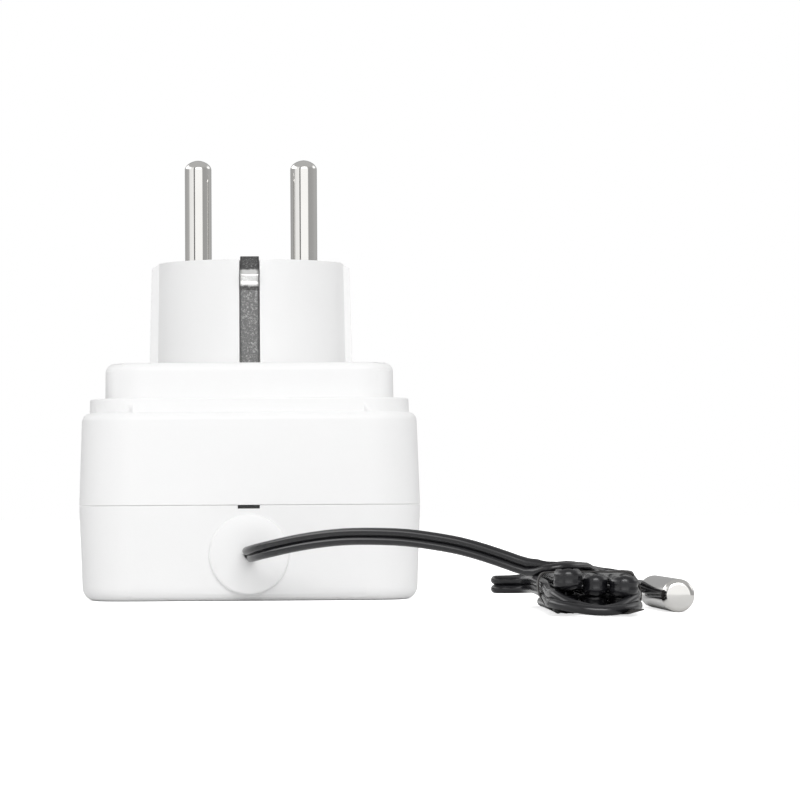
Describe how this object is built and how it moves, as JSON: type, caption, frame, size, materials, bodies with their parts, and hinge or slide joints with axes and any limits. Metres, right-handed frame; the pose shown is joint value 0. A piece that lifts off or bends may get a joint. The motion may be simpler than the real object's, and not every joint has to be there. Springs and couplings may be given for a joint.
{
  "type": "plug in power meter",
  "caption": "Plug-through mains power meter: a housing with plug, outlet, display and keys, and a twin lead to a steel temperature probe.",
  "frame": {"origin": "centre of the housing's plan, on the front face that it stands on", "axes": "+Z from the front face out along the plug's pins, +Y from the lead end to the display end, +X across"},
  "size_m": [0.0974, 0.213, 0.0785],
  "materials": {
    "housing_white": "fine spark texture",
    "collar_white": "satin",
    "bush_white": "satin",
    "outlet_white": "satin",
    "ivory_plastic": "plain",
    "shutter_grey": "plain",
    "nickel_pin": "bright nickel plate",
    "earth_nickel": "nickel plate",
    "contact_brass": "stamped",
    "fibre_card": "fibre",
    "spring_steel": "drawn wire",
    "screw_steel": "zinc plate",
    "clear_window": "polished",
    "display_glass": "polished",
    "black_rubber": "matt",
    "board_green": "solder mask",
    "board_tan": "paper laminate",
    "key_grey": "satin",
    "black_plastic": "satin",
    "cell_steel": "nickel plate",
    "relay_blue": "satin",
    "capacitor_yellow": "satin",
    "capacitor_blue": "sleeve",
    "varistor_blue": "lacquer",
    "fuse_ceramic": "glazed",
    "lead_black": "satin",
    "tie_black": "satin",
    "probe_steel": "polished"
  },
  "bodies": {
    "housing": {"front_shell": "housing_white", "rear_shell": "housing_white", "plug_collar": "collar_white", "live_pin": "nickel_pin", "neutral_pin": "nickel_pin", "plug_earth_strip": "earth_nickel", "live_feed_strip": "contact_brass", "live_load_strip": "contact_brass", "neutral_strip": "contact_brass", "insulating_washer": "fibre_card", "earth_post": "earth_nickel", "contact_carrier": "ivory_plastic", "live_receptacle": "contact_brass", "neutral_receptacle": "contact_brass", "socket_earth_bracket": "earth_nickel", "socket_insert": "outlet_white", "shutter_spring": "spring_steel", "carrier_screws": "screw_steel", "collar_screws": "screw_steel", "case_screws": "screw_steel", "display_window": "clear_window", "display_glass": "display_glass", "display_frame": "ivory_plastic", "display_contacts": "black_rubber", "display_board": "board_green", "display_board_screws": "screw_steel", "key_switches": "black_plastic", "display_chip": "black_plastic", "memory_cell": "cell_steel", "cell_clip": "screw_steel", "probe_header": "ivory_plastic", "probe_plug": "ivory_plastic", "inner_lead": "lead_black", "lead_bush": "bush_white", "lead_stop": "screw_steel", "power_board": "board_tan", "power_board_screws": "screw_steel", "relay": "relay_blue", "dropper_capacitor": "capacitor_yellow", "smoothing_capacitor": "capacitor_blue", "varistor": "varistor_blue", "fuse": "fuse_ceramic", "meter_chip": "black_plastic", "board_link": "black_plastic", "sensor_lead": "lead_black", "lead_hank": "lead_black", "hank_tie": "tie_black", "probe_lead": "lead_black", "probe_sleeve": "probe_steel", "thermistor": "varistor_blue", "probe_potting": "black_rubber"},
    "mode_button": {"mode_key": "key_grey", "mode_plunger": "black_plastic"},
    "up_button": {"up_key": "key_grey", "up_plunger": "black_plastic"},
    "down_button": {"down_key": "key_grey", "down_plunger": "black_plastic"},
    "set_button": {"set_key": "key_grey", "set_plunger": "black_plastic"},
    "safety_shutter": {"shutter": "shutter_grey"}
  },
  "joints": [
    {"name": "mode_press", "type": "slide", "parent": "housing", "child": "mode_button", "axis": [0, 0, 1], "range_m": [0, 0.0004], "stiffness_N_per_m": 1500, "springref_m": -0.0002},
    {"name": "up_press", "type": "slide", "parent": "housing", "child": "up_button", "axis": [0, 0, 1], "range_m": [0, 0.0004], "stiffness_N_per_m": 1500, "springref_m": -0.0002},
    {"name": "down_press", "type": "slide", "parent": "housing", "child": "down_button", "axis": [0, 0, 1], "range_m": [0, 0.0004], "stiffness_N_per_m": 1500, "springref_m": -0.0002},
    {"name": "set_press", "type": "slide", "parent": "housing", "child": "set_button", "axis": [0, 0, 1], "range_m": [0, 0.0004], "stiffness_N_per_m": 1500, "springref_m": -0.0002},
    {"name": "shutter_turn", "type": "hinge", "parent": "housing", "child": "safety_shutter", "pos_m": [0, -0.026, 0.0206], "axis": [0, 0, 1], "range_deg": [0, 38], "stiffness_Nm_per_rad": 0.004, "springref_deg": -11.46}
  ]
}
